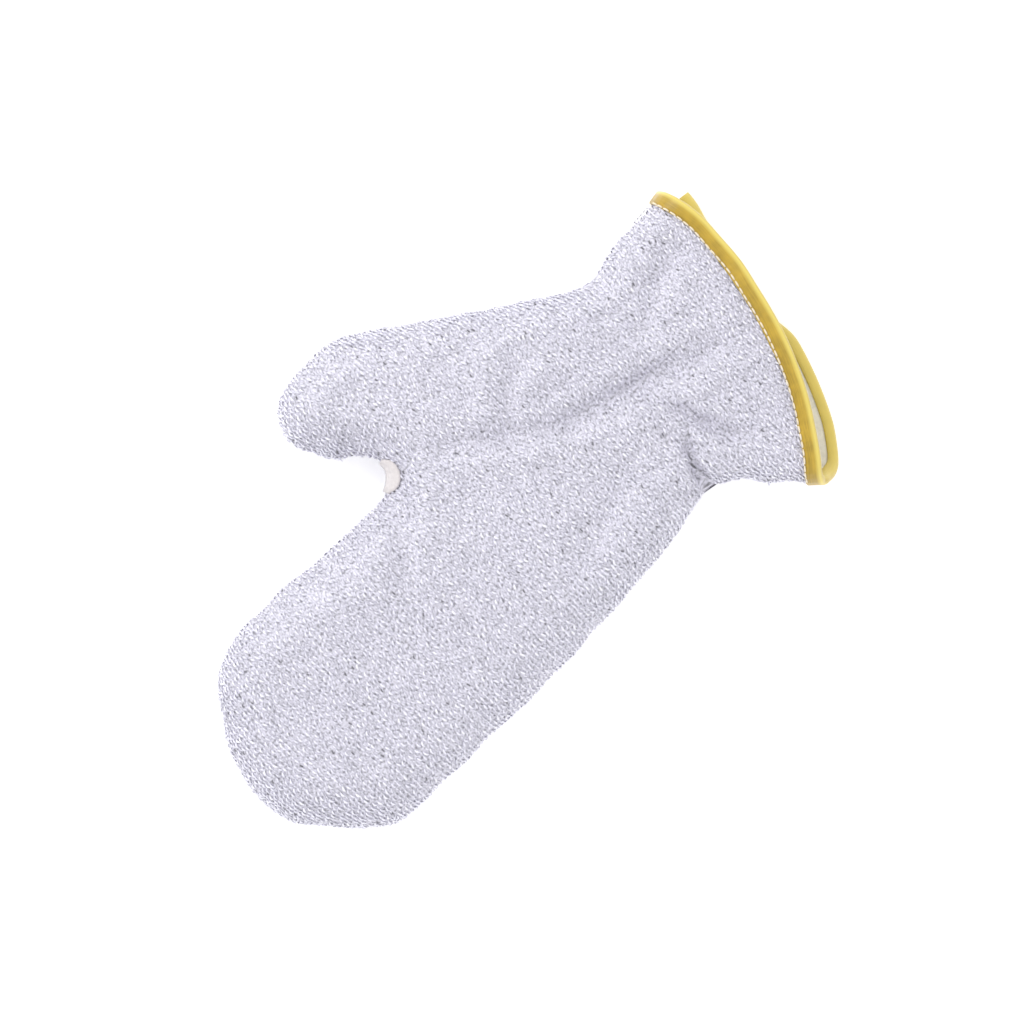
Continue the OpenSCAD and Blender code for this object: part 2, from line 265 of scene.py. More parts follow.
def make_line():
    """The outline with the small waviness of a sewn edge, and its outward directions."""
    line = spline(OUTLINE, OUTLINE_STEP)
    ahead = np.roll(line, -1, axis=0) - np.roll(line, 1, axis=0)
    out = unit(np.stack([ahead[:, 1], -ahead[:, 0]], axis=1))
    rng = np.random.default_rng(11)
    line = line + out * 0.7 * column(swell(waves(rng, 5, 30, 12), line))
    return line, out


LINE, LINE_OUT = make_line()


def nearest(points):
    """For each point: distance inside the outline, closest outline point, inward direction, its index."""
    ahead = np.roll(LINE, -1, axis=0) - LINE
    square = (ahead**2).sum(1)
    found = []
    for part in np.array_split(points, max(1, len(points) // 1500)):
        off = part[:, None, :] - LINE[None]
        t = np.clip((off * ahead).sum(2) / square, 0, 1)
        off = off - t[..., None] * ahead
        k = (off**2).sum(2).argmin(1)
        rows = np.arange(len(part))
        off, seg = off[rows, k], ahead[k]
        side = np.sign(seg[:, 0] * off[:, 1] - seg[:, 1] * off[:, 0])
        far = np.linalg.norm(off, axis=1)
        inward = -LINE_OUT[k]
        clear = far > 0.05
        inward[clear] = unit(off[clear]) * side[clear, None]
        found.append((far * side, part - off, inward, k))
    return tuple(np.concatenate(part) for part in zip(*found))


def room_outside():
    """How far each outline point can go outwards before another stretch of outline is as near."""
    free = np.zeros(len(LINE))
    for step in range(1, 17):
        far = nearest(LINE + LINE_OUT * step)[0]
        still = (free == step - 1) & (-far > step - 0.35)
        free[still] = step
    free = np.where(free < 16, free / 2, free)
    wide = np.stack([np.roll(free, k) for k in range(-3, 4)])
    return wide.mean(0)


FREE = room_outside()


def fullness(at, side):
    """Rise from the seam and width of the rounded edge, spread smoothly from the known places."""
    known = np.array(FULLNESS, float)
    square = ((at[:, None, :] - known[None, :, :2])**2).sum(2)
    weight = np.exp(-square / (2 * FIELD_REACH**2)) + 1e-9
    weight /= weight.sum(1)[:, None]
    rise = weight @ known[:, 2] if side == FRONT else np.full(len(at), BACK_RISE)
    return rise, weight @ known[:, 3]


def wrist_place(at):
    """Place across and along the wrist, from the middle of the elastic."""
    off = at - WRIST_AT
    return off @ ACROSS, off @ ALONG


def half_width(c):
    """Half the mitt's width at a place along it, seen from the wrist."""
    return np.where(c < 0, 43.7 - 0.45 * c, 43.7 + 5 * np.minimum(1, c / 40))


def valley(at, points, depth, width):
    """A pressed fold along a line, fading at both ends."""
    p = np.array(points, float)
    runs = np.linalg.norm(p[1:] - p[:-1], axis=1)
    start = np.concatenate([[0], runs.cumsum()])
    best = np.full(len(at), 1e9)
    along = np.zeros(len(at))
    for a, b, length, begun in zip(p[:-1], p[1:], runs, start):
        t = np.clip(((at - a) @ (b - a)) / length**2, 0, 1)
        far = np.linalg.norm(at - a - t[:, None] * (b - a), axis=1)
        nearer = far < best
        best = np.where(nearer, far, best)
        along = np.where(nearer, (begun + t * length) / start[-1], along)
    fade = np.sin(np.pi * np.clip(along * 0.9 + 0.05, 0, 1)) ** 0.6
    lip = 0.28 * np.exp(-((best - 2.1 * width) / width)**2)
    return -depth * fade * (np.exp(-(best / width)**2) - lip)


def relief(at, side):
    """How far the cloth stands proud of the smooth form: gathers, folds and slow unevenness."""
    form = settings("form")
    rng = np.random.default_rng(form.seed + (side == BACK))
    u, c = wrist_place(at)
    q = u / half_width(c)
    total = np.zeros(len(at))
    for _ in range(22):
        centre, width = rng.uniform(-1, 1), rng.uniform(0.03, 0.075)
        height, up, down = rng.uniform(-1, 1), rng.uniform(12, 52), rng.uniform(10, 38)
        lean = rng.uniform(-0.0018, 0.0018)
        fade = np.exp(-(c / np.where(c > 0, up, down))**2)
        total += form.gather * height * fade * np.exp(-((q - centre - lean * c) / width)**2)
    total -= form.wrist_dip * np.exp(-(c / 6.5)**2)
    total += 0.7 * swell(waves(rng, 6, 80, 34), at) + 0.22 * swell(waves(rng, 6, 22, 11), at)
    if side == FRONT:
        for points, depth, width, _ in FOLDS:
            total += valley(at, points, depth, width)
    else:
        total = np.minimum(total, 0.3) * 0.8
    return total


def arc_place(near, rise, reach):
    """Where the rounded edge's arc has got to at each flat point, from 0 on top to a quarter turn at
    the seam, and how far past the seam the flat point lies."""
    d, k = near[0], near[3]
    turn = np.linspace(0, QUARTER, 25)
    mid = (turn[1:] + turn[:-1]) / 2
    speed = np.hypot(reach[:, None] * np.cos(mid), rise[:, None] * np.sin(mid)) * (turn[1] - turn[0])
    run = np.concatenate([np.zeros((len(d), 1)), speed.cumsum(1)], axis=1)
    total = run[:, -1]
    spare = np.minimum(FREE[k], total - reach)
    arc = (reach - d) * total / (reach + np.maximum(0, spare))
    past = arc - total
    arc = np.clip(arc, 0, total)
    j = np.clip((run < arc[:, None]).sum(1), 1, 24)
    rows = np.arange(len(d))
    low, high = run[rows, j - 1], run[rows, j]
    share = (arc - low) / np.maximum(1e-9, high - low)
    return (j - 1 + share) * (turn[1] - turn[0]), past


def outer_face(plan, side, inward, turned, rise, reach):
    """Points and outward normals of the shell's outer face over plan points, where the rounded edge
    has turned down by an angle."""
    up = 1.0 if side == FRONT else -1.0
    normals = unit(np.column_stack([-inward * column(np.sin(turned) / reach), up * np.cos(turned) / rise]))
    points = np.column_stack([plan, SEAM_Z + up * rise * np.cos(turned)])
    fade = 1 - (turned / QUARTER) ** 4
    points += normals * column(relief(plan, side) * fade)
    points[:, 2] += hem_lift(plan, side)
    return points, normals


class Cloth:
    """Flat cloth points laid on one side of the mitt."""

    def __init__(self, flat, side, near=None):
        self.near = near or nearest(flat)
        inside, edge, inward, _ = self.near
        rise, reach = fullness(flat, side)
        self.turned, self.past = arc_place(self.near, rise, reach)
        deep = np.where(reach > inside, reach * (1 - np.sin(self.turned)), inside)
        self.plan = edge + inward * column(deep)
        self.base, self.normal = outer_face(self.plan, side, inward, self.turned, rise, reach)

    def at(self, inset):
        """The points at a depth inside the outer face, kept above the table."""
        depth = np.broadcast_to(np.asarray(inset, float), self.turned.shape)
        made = self.base - self.normal * column(depth)
        made[:, 2] = np.maximum(made[:, 2], np.maximum(TABLE_GAP, depth * 0.98))
        return made


def bearing(at):
    """Bearing of plan points from the hem's centre, in degrees."""
    return np.degrees(np.arctan2(at[:, 1] - HEM_CENTRE[1], at[:, 0] - HEM_CENTRE[0]))


def hem_radius(at, side):
    """Radius of the hem on a side: the back hem hangs out at both ends of the mouth."""
    return HEM_R + np.interp(bearing(at), HEM[:, 0], HEM[:, 1 if side == FRONT else 2])


def hem_lift(at, side):
    """The back cloth rises a little where the binding passes under it."""
    if side == FRONT:
        return 0.0
    inset = hem_radius(at, side) - np.linalg.norm(at - HEM_CENTRE, axis=1)
    return HEM_LIFT * np.exp(-(np.maximum(0, inset - 5) / 6) ** 2) * (wrist_place(at)[1] < -10)


def inside_hem(at, side, keep):
    """True for plan points that lie inside the hem by at least keep."""
    far = np.linalg.norm(at - HEM_CENTRE, axis=1)
    _, c = wrist_place(at)
    return (far < hem_radius(at, side) - keep) | (c > 0)


def region_of(at):
    """The index in REGIONS of each plan point."""
    cuff = (at - CUFF_AT) @ ALONG < 0
    thumb = (at - THUMB_AT) @ THUMB_OUT > 0
    fingers = at[:, 1] > FINGER_Y - FINGER_RUN
    return np.where(cuff, 3, np.where(thumb, 2, np.where(fingers, 1, 0)))


# ---- Meshes ----

def corners(mesh, what):
    """What each face corner refers to: its point or its edge."""
    index = np.zeros(len(mesh.loops), np.int32)
    mesh.loops.foreach_get(what, index)
    return index


def give_uv(mesh, name, places):
    """A UV map with a place for each point."""
    layer = mesh.uv_layers.new(name=name)
    index = corners(mesh, "vertex_index")
    layer.data.foreach_set("uv", np.asarray(places, np.float32)[index].ravel())


def mark(piece, name, values):
    """An attribute with a number for each point."""
    layer = piece.data.attributes.new(name, "FLOAT", "POINT")
    layer.data.foreach_set("value", np.asarray(values, np.float32))


def mesh_piece(name, points, faces, material, uv=None, smooth=True):
    """A new object at the origin from points in mm; smooth may say it for each face."""
    mesh = bpy.data.meshes.new(name)
    faces = faces.tolist() if isinstance(faces, np.ndarray) else faces
    mesh.from_pydata((np.asarray(points) * MM).tolist(), [], faces)
    mesh.materials.append(material)
    smooth = np.broadcast_to(smooth, len(mesh.polygons))
    mesh.polygons.foreach_set("use_smooth", smooth.tolist())
    # flat faces keep their border out of the smooth shading beside them
    sides = np.zeros(len(mesh.polygons), np.int32)
    mesh.polygons.foreach_get("loop_total", sides)
    sharp = np.zeros(len(mesh.edges), bool)
    sharp[corners(mesh, "edge_index")[np.repeat(~smooth, sides)]] = True
    mesh.edges.foreach_set("use_edge_sharp", sharp.tolist())
    if uv is not None:
        give_uv(mesh, "Cloth", uv)
    mesh.update()
    made = bpy.data.objects.new(name, mesh)
    bpy.context.scene.collection.objects.link(made)
    return made


def tube_faces(rings, sides, closed=False):
    """Faces of a tube of rings of points, its ends capped unless it closes on itself."""
    faces = []
    for r in range(rings if closed else rings - 1):
        n = (r + 1) % rings
        for k in range(sides):
            t = (k + 1) % sides
            faces.append([r * sides + k, r * sides + t, n * sides + t, n * sides + k])
    if not closed:
        faces.append(list(range(sides))[::-1])
        faces.append([(rings - 1) * sides + k for k in range(sides)])
    return faces


def repeated(faces, points, copies):
    """The faces of copies that follow each other, each of a number of points."""
    return [[k + n * points for k in face] for n in range(copies) for face in faces]


def carried(shape, places, *axes):
    """A shape's points at each place, one of its coordinates along each axis."""
    return places[:, None] + sum(shape[..., k:k + 1] * axis[:, None] for k, axis in enumerate(axes))


def shell_of(outer, inner, faces):
    """Points and faces of a closed cloth: an outer and an inner sheet joined round every free edge."""
    count = len(outer)
    edges = np.stack([faces, np.roll(faces, -1, axis=1)], axis=2).reshape(-1, 2)
    known = {tuple(e) for e in edges.tolist()}
    walls = np.array([[b, a, a + count, b + count] for a, b in known if (b, a) not in known])
    return np.concatenate([outer, inner]), np.concatenate([faces, faces[:, ::-1] + count, walls])


def attach(piece, region):
    """Parents a piece of the hand region to the hand's body; a piece of any other region only has its
    transform baked into its mesh.
    """
    if region == "hand":
        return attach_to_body(piece, "hand")
    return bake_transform(piece)


# ---- Materials ----

def add(tree, kind, links=(), **values):
    """Adds one node, sets its properties and inputs by name, with _ for a space, and links its inputs
    to outputs, a node standing for its first one. A number among the links is set."""
    node = tree.nodes.new(kind)
    for key, value in values.items():
        if hasattr(node, key):
            setattr(node, key, value)
        else:
            node.inputs[key.replace("_", " ")].default_value = value
    for name, source in dict(links).items():
        source = source.outputs[0] if isinstance(source, bpy.types.Node) else source
        if isinstance(source, bpy.types.NodeSocket):
            tree.links.new(source, node.inputs[name])
        else:
            node.inputs[name].default_value = source
    return node


def new_material(name):
    material = bpy.data.materials.new(name)
    material.use_nodes = True
    material.node_tree.nodes.clear()
    return material, material.node_tree


def ramp(node, stops):
    """Sets a colour ramp's stops: place and linear colour."""
    band = node.color_ramp
    while len(band.elements) > 1:
        band.elements.remove(band.elements[0])
    band.elements[0].position, band.elements[0].color = stops[0]
    for place, colour in stops[1:]:
        band.elements.new(place).color = colour


def shade(colour, factor):
    """A lighter or darker tone of a linear colour."""
    return [min(1.0, c * factor) for c in colour[:3]] + [1.0]


def finished(material, shader):
    """The material with its shader on the surface."""
    add(material.node_tree, "ShaderNodeOutputMaterial", {"Surface": shader})
    return material


def yarn_material():
    """Metallised polyester yarn, a flat silvery film wound on white thread: it glints in short bright dashes,
    pale lavender between them, and each loop catches the light a little differently. The glints are painted
    highlights in the colour, over the roughness that the specks vary; each loop's tone is random, with
    painted light and shade added to it."""
    knit = settings("knit")
    material, tree = new_material("metallised_yarn")
    tone = add(tree, "ShaderNodeAttribute", attribute_name="tone")
    place = add(tree, "ShaderNodeTexCoord")
    # glints of the film, about half a millimetre across: specks that vary the roughness and are also painted
    # into the colour as painted highlights
    where = place.outputs["Object"]
    glint_speck = add(tree, "ShaderNodeTexNoise", {"Vector": where}, Scale=1 / (1.1 * MM), Detail=2.0)
    mixed = add(tree, "ShaderNodeMath", {0: tone.outputs["Fac"], 1: glint_speck}, operation="ADD")
    half = add(tree, "ShaderNodeMath", {0: mixed, 1: 0.5}, operation="MULTIPLY")
    colour = add(tree, "ShaderNodeValToRGB", {"Fac": half})
    base = list(knit.colour)
    # the near-white top stop gives the painted glints; the darkest stops give the painted shade of the pin
    # holes and the creases
    ramp(colour, [(0.02, shade(base, 0.25)), (0.25, shade(base, 0.68)), (0.45, shade(base, 0.94)),
                  (0.6, shade(base, 1.12)), (0.75, [0.98, 0.98, 1.0, 1.0])])
    # the film's edge shows as fine lines wound round the yarn, a third of a millimetre apart
    yarn = add(tree, "ShaderNodeUVMap", uv_map="Yarn")
    wound = add(tree, "ShaderNodeTexWave", {"Vector": yarn}, wave_type="BANDS",
                bands_direction="DIAGONAL", Scale=2.2, Distortion=2.0)
    bump = add(tree, "ShaderNodeBump", {"Height": wound.outputs["Fac"]}, Strength=0.35, Distance=0.1 * MM)
    rough = add(tree, "ShaderNodeMapRange", {"Value": glint_speck}, To_Min=0.28, To_Max=0.55)
    shader = add(tree, "ShaderNodeBsdfPrincipled", {"Base Color": colour, "Roughness": rough,
                  "Normal": bump}, Metallic=0.35)
    return finished(material, shader)


def ground_material():
    """The back of the knit that shows between the loops: the same yarn, coloured darker than the loops as
    painted shade between them.
    """
    knit = settings("knit")
    material, tree = new_material("knitted_ground")
    place = add(tree, "ShaderNodeUVMap", uv_map="Cloth")
    grain = add(tree, "ShaderNodeTexNoise", {"Vector": place}, Scale=0.9, Detail=3.0)
    colour = add(tree, "ShaderNodeValToRGB", {"Fac": grain})
    base = list(knit.ground)
    ramp(colour, [(0.34, shade(base, 0.42)), (0.46, shade(base, 0.85)), (0.62, shade(base, 1.15))])
    cells = add(tree, "ShaderNodeTexVoronoi", {"Vector": place}, Scale=0.8)
    bump = add(tree, "ShaderNodeBump", {"Height": cells}, Strength=0.5, Distance=0.3 * MM)
    shader = add(tree, "ShaderNodeBsdfPrincipled", {"Base Color": colour, "Normal": bump},
                 Metallic=0.2, Roughness=0.5)
    return finished(material, shader)


def liner_material(name="brushed_flannel", tint=None):
    """Brushed cotton flannel: matt, warm white, with a soft nap and a faint weave under it."""
    knit = settings("knit")
    material, tree = new_material(name)
    place = add(tree, "ShaderNodeTexCoord")
    where = place.outputs["Object"]
    nap = add(tree, "ShaderNodeTexNoise", {"Vector": where}, Scale=1 / (1.4 * MM), Detail=5.0)
    cloud = add(tree, "ShaderNodeTexNoise", {"Vector": where}, Scale=1 / (18 * MM), Detail=2.0)
    both = add(tree, "ShaderNodeMath", {0: nap, 1: cloud}, operation="ADD")
    half = add(tree, "ShaderNodeMath", {0: both, 1: 0.5}, operation="MULTIPLY")
    colour = add(tree, "ShaderNodeValToRGB", {"Fac": half})
    base = list(tint or knit.lining)
    ramp(colour, [(0.3, shade(base, 0.82)), (0.55, base), (0.75, shade(base, 1.08))])
    bump = add(tree, "ShaderNodeBump", {"Height": nap}, Strength=0.5, Distance=0.5 * MM)
    shader = add(tree, "ShaderNodeBsdfPrincipled", {"Base Color": colour, "Normal": bump},
                 Roughness=0.92, Sheen_Weight=0.3, Sheen_Roughness=0.6)
    return finished(material, shader)


def satin_material():
    """Polyester satin ribbon, folded: golden, smooth across and glossy along its fine warp threads,
    paler and yellower where light comes through the fold."""
    trims = settings("trims")
    material, tree = new_material("gold_satin")
    fold = add(tree, "ShaderNodeAttribute", attribute_name="fold")
    place = add(tree, "ShaderNodeUVMap", uv_map="Cloth")
    # warp threads run along the ribbon; real ones are 0.1 mm apart, drawn at 0.35 mm so that they show
    warp = add(tree, "ShaderNodeMapping", {"Vector": place}, Scale=(0.12, 1 / 0.35, 1))
    threads = add(tree, "ShaderNodeTexNoise", {"Vector": warp}, Scale=1.0, Detail=2.0)
    patch = add(tree, "ShaderNodeTexNoise", {"Vector": place}, Scale=0.16, Detail=2.0)
    tone = add(tree, "ShaderNodeMath", {0: threads, 1: patch}, operation="ADD")
    half = add(tree, "ShaderNodeMath", {0: tone, 1: 0.5}, operation="MULTIPLY")
    colour = add(tree, "ShaderNodeValToRGB", {"Fac": half})
    base = list(trims.satin)
    ramp(colour, [(0.3, shade(base, 0.62)), (0.5, base), (0.7, shade(base, 1.3))])
    mix = add(tree, "ShaderNodeMix", {"Factor": fold.outputs["Fac"], 6: colour,
                                      7: list(trims.satin_fold)}, data_type="RGBA")
    bump = add(tree, "ShaderNodeBump", {"Height": threads}, Strength=0.25, Distance=0.15 * MM)
    shader = add(tree, "ShaderNodeBsdfPrincipled", {"Base Color": mix.outputs[2], "Normal": bump},
                 Roughness=0.36, Sheen_Weight=0.25, Anisotropic=0.5)
    return finished(material, shader)


def thread_material(name, code):
    """Spun polyester sewing thread: matt, with the twist of its plies showing as fine slanted lines."""
    material, tree = new_material(name)
    place = add(tree, "ShaderNodeUVMap", uv_map="Cloth")
    twist = add(tree, "ShaderNodeTexWave", {"Vector": place}, wave_type="BANDS",
                bands_direction="DIAGONAL", Scale=1.3, Distortion=1.0)
    colour = add(tree, "ShaderNodeValToRGB", {"Fac": twist.outputs["Fac"]})
    base = srgb(code)
    ramp(colour, [(0.1, shade(base, 0.72)), (0.6, base), (0.95, shade(base, 1.1))])
    bump = add(tree, "ShaderNodeBump", {"Height": twist.outputs["Fac"]}, Strength=0.4, Distance=0.08 * MM)
    shader = add(tree, "ShaderNodeBsdfPrincipled", {"Base Color": colour, "Normal": bump},
                 Roughness=0.6, Sheen_Weight=0.1)
    return finished(material, shader)


def elastic_material():
    """Woven rubber-cored elastic: white, matt, its covering yarn crossing the ribs."""
    material, tree = new_material("woven_elastic")
    place = add(tree, "ShaderNodeUVMap", uv_map="Cloth")
    # covering yarn, a pick each 0.7 mm
    picks = add(tree, "ShaderNodeTexWave", {"Vector": place}, wave_type="BANDS",
                bands_direction="X", Scale=0.45, Distortion=0.6)
    colour = add(tree, "ShaderNodeValToRGB", {"Fac": picks.outputs["Fac"]})
    base = srgb("F2F2EE")
    ramp(colour, [(0.1, shade(base, 0.7)), (0.6, base), (0.95, shade(base, 1.06))])
    bump = add(tree, "ShaderNodeBump", {"Height": picks.outputs["Fac"]}, Strength=0.4, Distance=0.2 * MM)
    shader = add(tree, "ShaderNodeBsdfPrincipled", {"Base Color": colour, "Normal": bump}, Roughness=0.7)
    return finished(material, shader)


def table_material():
    """Matt white board with the faintest mottling."""
    material, tree = new_material("white_board")
    place = add(tree, "ShaderNodeTexCoord")
    cloud = add(tree, "ShaderNodeTexNoise", {"Vector": place.outputs["Object"]}, Scale=9.0, Detail=2.0)
    colour = add(tree, "ShaderNodeValToRGB", {"Fac": cloud})
    base = list(settings("stage").table)
    ramp(colour, [(0.3, shade(base, 0.985)), (0.7, base)])
    # lit from below as well, like a light table, so that hardly a shadow shows
    shader = add(tree, "ShaderNodeBsdfPrincipled", {"Base Color": colour},
                 Roughness=0.9, Emission_Color=base, Emission_Strength=0.32)
    return finished(material, shader)


# ---- Cloths ----

NEAR_SEAM = 0.8       # how far, in radians, the edge has turned where cells are held to be at the seam
WIDEST_CELL = 14      # the longest stretch of outline, in mm, that a cell at the seam may span
GROUND_DEPTH = 0.85   # the ground cloth lies this much below the tops of the loops
LINER_GAP = 0.3       # between the shell and the liner
SHADED_HOLES, LOST = 0.045, 0.03    # shares of the loops that are missing or drawn as pin holes in painted shade, and of those missing
LOOP_HEIGHT, LOOP_GAP = 0.62, 0.02    # a loop's middle and its lowest point, over the table, in mm


def grid_lines(margin, below, across, along):
    """Where a grid's lines lie, with a margin round the mitt and another below its hem."""
    low, high = LINE.min(0) - margin, LINE.max(0) + margin
    low[1] = HEM_CENTRE[1] - HEM_R - below
    return np.arange(low[0], high[0], across), np.arange(low[1], high[1], along)


@functools.lru_cache(maxsize=None)
def flat_grid():
    """Cloth points on a square grid that covers the mitt, the grid's cells, and what is nearest."""
    step = settings("form").grid
    xs, ys = grid_lines(14, 16, step, step)
    gx, gy = np.meshgrid(xs, ys)
    flat = np.column_stack([gx.ravel(), gy.ravel()])
    i, j = np.meshgrid(np.arange(len(xs) - 1), np.arange(len(ys) - 1))
    first = (j * len(xs) + i).ravel()
    cells = np.column_stack([first, first + 1, first + 1 + len(xs), first + len(xs)])
    return flat, cells, nearest(flat)


def sheet_faces(cloth, cells, side, keep):
    """The grid cells that lie on the mitt, without those that would span the crotch of the thumb."""
    index = cloth.near[3][cells]
    apart = index.max(1) - index.min(1)
    apart = np.minimum(apart, len(LINE) - apart) * OUTLINE_STEP
    edge = cloth.turned[cells].max(1) > NEAR_SEAM
    inside = inside_hem(cloth.plan, side, keep)[cells].all(1)
    on = (cloth.past < 0)[cells].any(1)
    return cells[inside & on & ~(edge & (apart > WIDEST_CELL))]


def build_cloth(kind, side, outer, inner, material, finish):
    """One cloth on one side of the mitt, cut into the four regions."""
    flat, cells, near = flat_grid()
    cloth = Cloth(flat, side, near)
    keep = 0.6 if kind == "shell" else 1.0
    faces = sheet_faces(cloth, cells, side, keep)
    sheets = [cloth.at(depth) for depth in (outer, inner)]
    groups = region_of(cloth.plan[faces].mean(1))
    if side == BACK:
        faces = faces[:, ::-1]
    for k, region in enumerate(REGIONS):
        used, chosen = np.unique(faces[groups == k], return_inverse=True)
        chosen = chosen.reshape(-1, 4)
        flats = flat[used]
        points, closed = shell_of(sheets[0][used], sheets[1][used], chosen)
        sheet = np.arange(len(closed)) < 2 * len(chosen)
        piece = mesh_piece(f"{kind}_{side}_{region}_{finish}", points, closed, material,
                           uv=np.concatenate([flats, flats]), smooth=sheet)
        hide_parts(f"{kind}_{side}_{region}")
        attach(piece, region)
        area = len(chosen) * (settings("form").grid * MM) ** 2


def loop_template(yarn, wale):
    """One knitted bump: a short arched tube whose ends dive into the cloth."""
    rings, sides = 4, 5
    points = []
    for t in np.linspace(-1, 1, rings):
        high = 0.36 * (1 - t * t) - 0.2 * t**4
        bow = 0.18 * (1 - t * t)
        thick = yarn / 2 * (1 - 0.3 * t * t)
        for a in np.arange(sides) * math.tau / sides:
            points.append((t * wale * 0.56, bow + thick * math.cos(a), high + thick * 0.72 * math.sin(a)))
    place = [(k // sides / (rings - 1), k % sides / sides) for k in range(rings * sides)]
    return np.array(points), [f[::-1] for f in tube_faces(rings, sides)], np.array(place)


def turn(first, second, angles):
    """Two directions at a right angle to each other, turned in their plane."""
    c, s = column(np.cos(angles)), column(np.sin(angles))
    return first * c + second * s, second * c - first * s


def cloth_directions(flat, side, at, straight):
    """Across, along and outward directions of the cloth at its points; straight is what stands for the
    outward direction where the cloth is too stretched to tell."""
    nudge, most, least = 0.6, 2.4, 0.1
    u, v = (Cloth(flat + step, side).at(0) - at for step in ([nudge, 0], [0, nudge]))
    runs = np.stack([np.linalg.norm(u, axis=1), np.linalg.norm(v, axis=1)])
    torn = ((runs > most * nudge) | (runs < least)).any(0)
    normal = straight.copy()
    u[torn] = np.cross(normal[torn], [0, 0.2, 1.0])
    u = unit(u)
    sloped = np.cross(u, v) * (1 if side == FRONT else -1)
    good = ~torn & (np.linalg.norm(sloped, axis=1) > 0.05)
    normal[good] = unit(sloped[good])
    u = square_to(u, normal)
    return u, np.cross(normal, u), normal


def build_knit(side, material):
    """The knit's raised bumps on one side: alternate loops stand higher, in a checkerboard."""
    knit = settings("knit")
    rng = np.random.default_rng(31 + (side == BACK))
    xs, ys = grid_lines(13, 14, knit.wale, knit.course)
    gx, gy = (part.ravel() for part in np.meshgrid(np.arange(len(xs)), np.arange(len(ys))))
    raised = (gx + gy) % 2 == 0
    flat = np.column_stack([xs[gx], ys[gy]])
    flat += np.column_stack([rng.normal(0, 0.17, len(flat)), rng.normal(0, 0.13, len(flat))])
    flat[:, 0] += 0.5 * knit.wale * (gy % 2)
    draws = rng.uniform(0, 1, (len(flat), 6))
    cloth = Cloth(flat, side)
    keep = (cloth.past < 0.3) & inside_hem(cloth.plan, side, 3.2) & (draws[:, 0] > LOST)
    flat, draws, raised = flat[keep], draws[keep], raised[keep]
    here = Cloth(flat, side, tuple(part[keep] for part in cloth.near))
    u, v, normal = cloth_directions(flat, side, here.at(0), here.normal)
    across, v = turn(u, v, (draws[:, 1] - 0.5) * 0.9)
    up, v = turn(normal, v, (draws[:, 2] - 0.5) * 0.8)
    depth = np.where(raised, 0.5, 0.78) + draws[:, 3] * 0.16
    at = here.at(0) - normal * column(depth)
    at[:, 2] = np.maximum(at[:, 2], LOOP_HEIGHT)
    shape, faces, place = loop_template(knit.yarn, knit.wale)
    size = np.where(raised, 1.0, 0.86) * (0.92 + 0.16 * draws[:, 4])
    # each loop's tone is random, with painted light and shade added: the raised loops coloured lighter, the
    # lower ones darker
    tone = 0.25 + 0.5 * draws[:, 5] + np.where(raised, 0.1, -0.05)
    # here and there a loop that has come undone leaves a pin hole: the loop is drawn small and dark, as
    # painted shade in the hole
    hole_shaded = draws[:, 0] < SHADED_HOLES
    size[hole_shaded], tone[hole_shaded] = 0.6, -0.7
    # painted shade: down in the creases the loops are coloured darker, for the shade that falls in the folds
    for points, _, width, closed in FOLDS if side == FRONT else ():
        tone += closed * np.minimum(0, valley(here.plan, points, 1, width * 0.75))
    groups = region_of(here.plan)
    for k, region in enumerate(REGIONS):
        rows = np.flatnonzero(groups == k)
        points = carried(shape * size[rows, None, None], at[rows], across[rows], v[rows], up[rows])
        points[..., 2] = np.maximum(points[..., 2], LOOP_GAP)
        count = len(rows)
        # in the map for baking, each loop has its own square
        tiles = math.ceil(math.sqrt(count))
        corner = np.column_stack([np.arange(count) % tiles, np.arange(count) // tiles])
        uv = (corner[:, None] + 0.1 + 0.8 * place) / tiles
        piece = mesh_piece(f"knit_loops_{side}_{region}", points.reshape(-1, 3),
                           repeated(faces, len(shape), count), material, uv=uv.reshape(-1, 2))
        piece.data.uv_layers[0].name = "OFBake"
        give_uv(piece.data, "Yarn", np.tile(place * [3.3, 3.0], (count, 1)))
        mark(piece, "tone", np.repeat(tone[rows], len(shape)))
        attach(piece, region)


# ---- Trims ----

WRAPPED = 3.3    # thickness of the cloths that the binding wraps
TACK = 3.6       # length of a stitch of the bar tack


def run_along(points):
    """How far along a line its points lie."""
    return np.concatenate([[0], np.linalg.norm(np.diff(points, axis=0), axis=1).cumsum()])


def resample(points, step):
    """Points along a line at even steps."""
    runs = run_along(points)
    places = np.linspace(0, runs[-1], max(4, int(runs[-1] / step)))
    return np.column_stack([np.interp(places, runs, points[:, k]) for k in range(points.shape[1])])


def smooth_line(points, passes):
    """A line with its sharp turns eased, its ends kept."""
    made = points.copy()
    for _ in range(passes):
        made[1:-1] = made[1:-1] * 0.5 + (made[:-2] + made[2:]) * 0.25
    return made


def surface_at(plan, side):
    """Points and outward normals of the mitt's outer face over plan points, above the table."""
    inside, _, inward, _ = nearest(plan)
    rise, reach = fullness(plan, side)
    turned = np.arcsin(np.clip(1 - inside / reach, 0, 1))
    points, normals = outer_face(plan, side, inward, turned, rise, reach)
    points[:, 2] = np.maximum(points[:, 2], 0.1)
    return points, normals


def rays(angles):
    """Directions in plan at the angles."""
    return np.column_stack([np.cos(angles), np.sin(angles)])


def hem_line(side, out=0.0):
    """The hem on one side, from the thumb-side seam to the little finger's seam: points and normals."""
    ray = rays(np.radians(np.linspace(-60, -140, 700)))
    radius = hem_radius(HEM_CENTRE + ray * HEM_R, side) + out
    plan = HEM_CENTRE + ray * column(radius)
    plan = plan[nearest(plan)[0] > 0.02]
    points, normals = surface_at(plan, side)
    if side == BACK:
        points[:, 2] = np.maximum(points[:, 2], HEM_LIFT)
    points = np.vstack([[*plan[0], SEAM_Z], points, [*plan[-1], SEAM_Z]])
    normals = np.vstack([normals[0], normals, normals[-1]])
    return points, normals


def along_line(line, closed=False):
    """The directions in which a line runs at its points."""
    return unit(np.roll(line, -1, axis=0) - np.roll(line, 1, axis=0) if closed else np.gradient(line, axis=0))


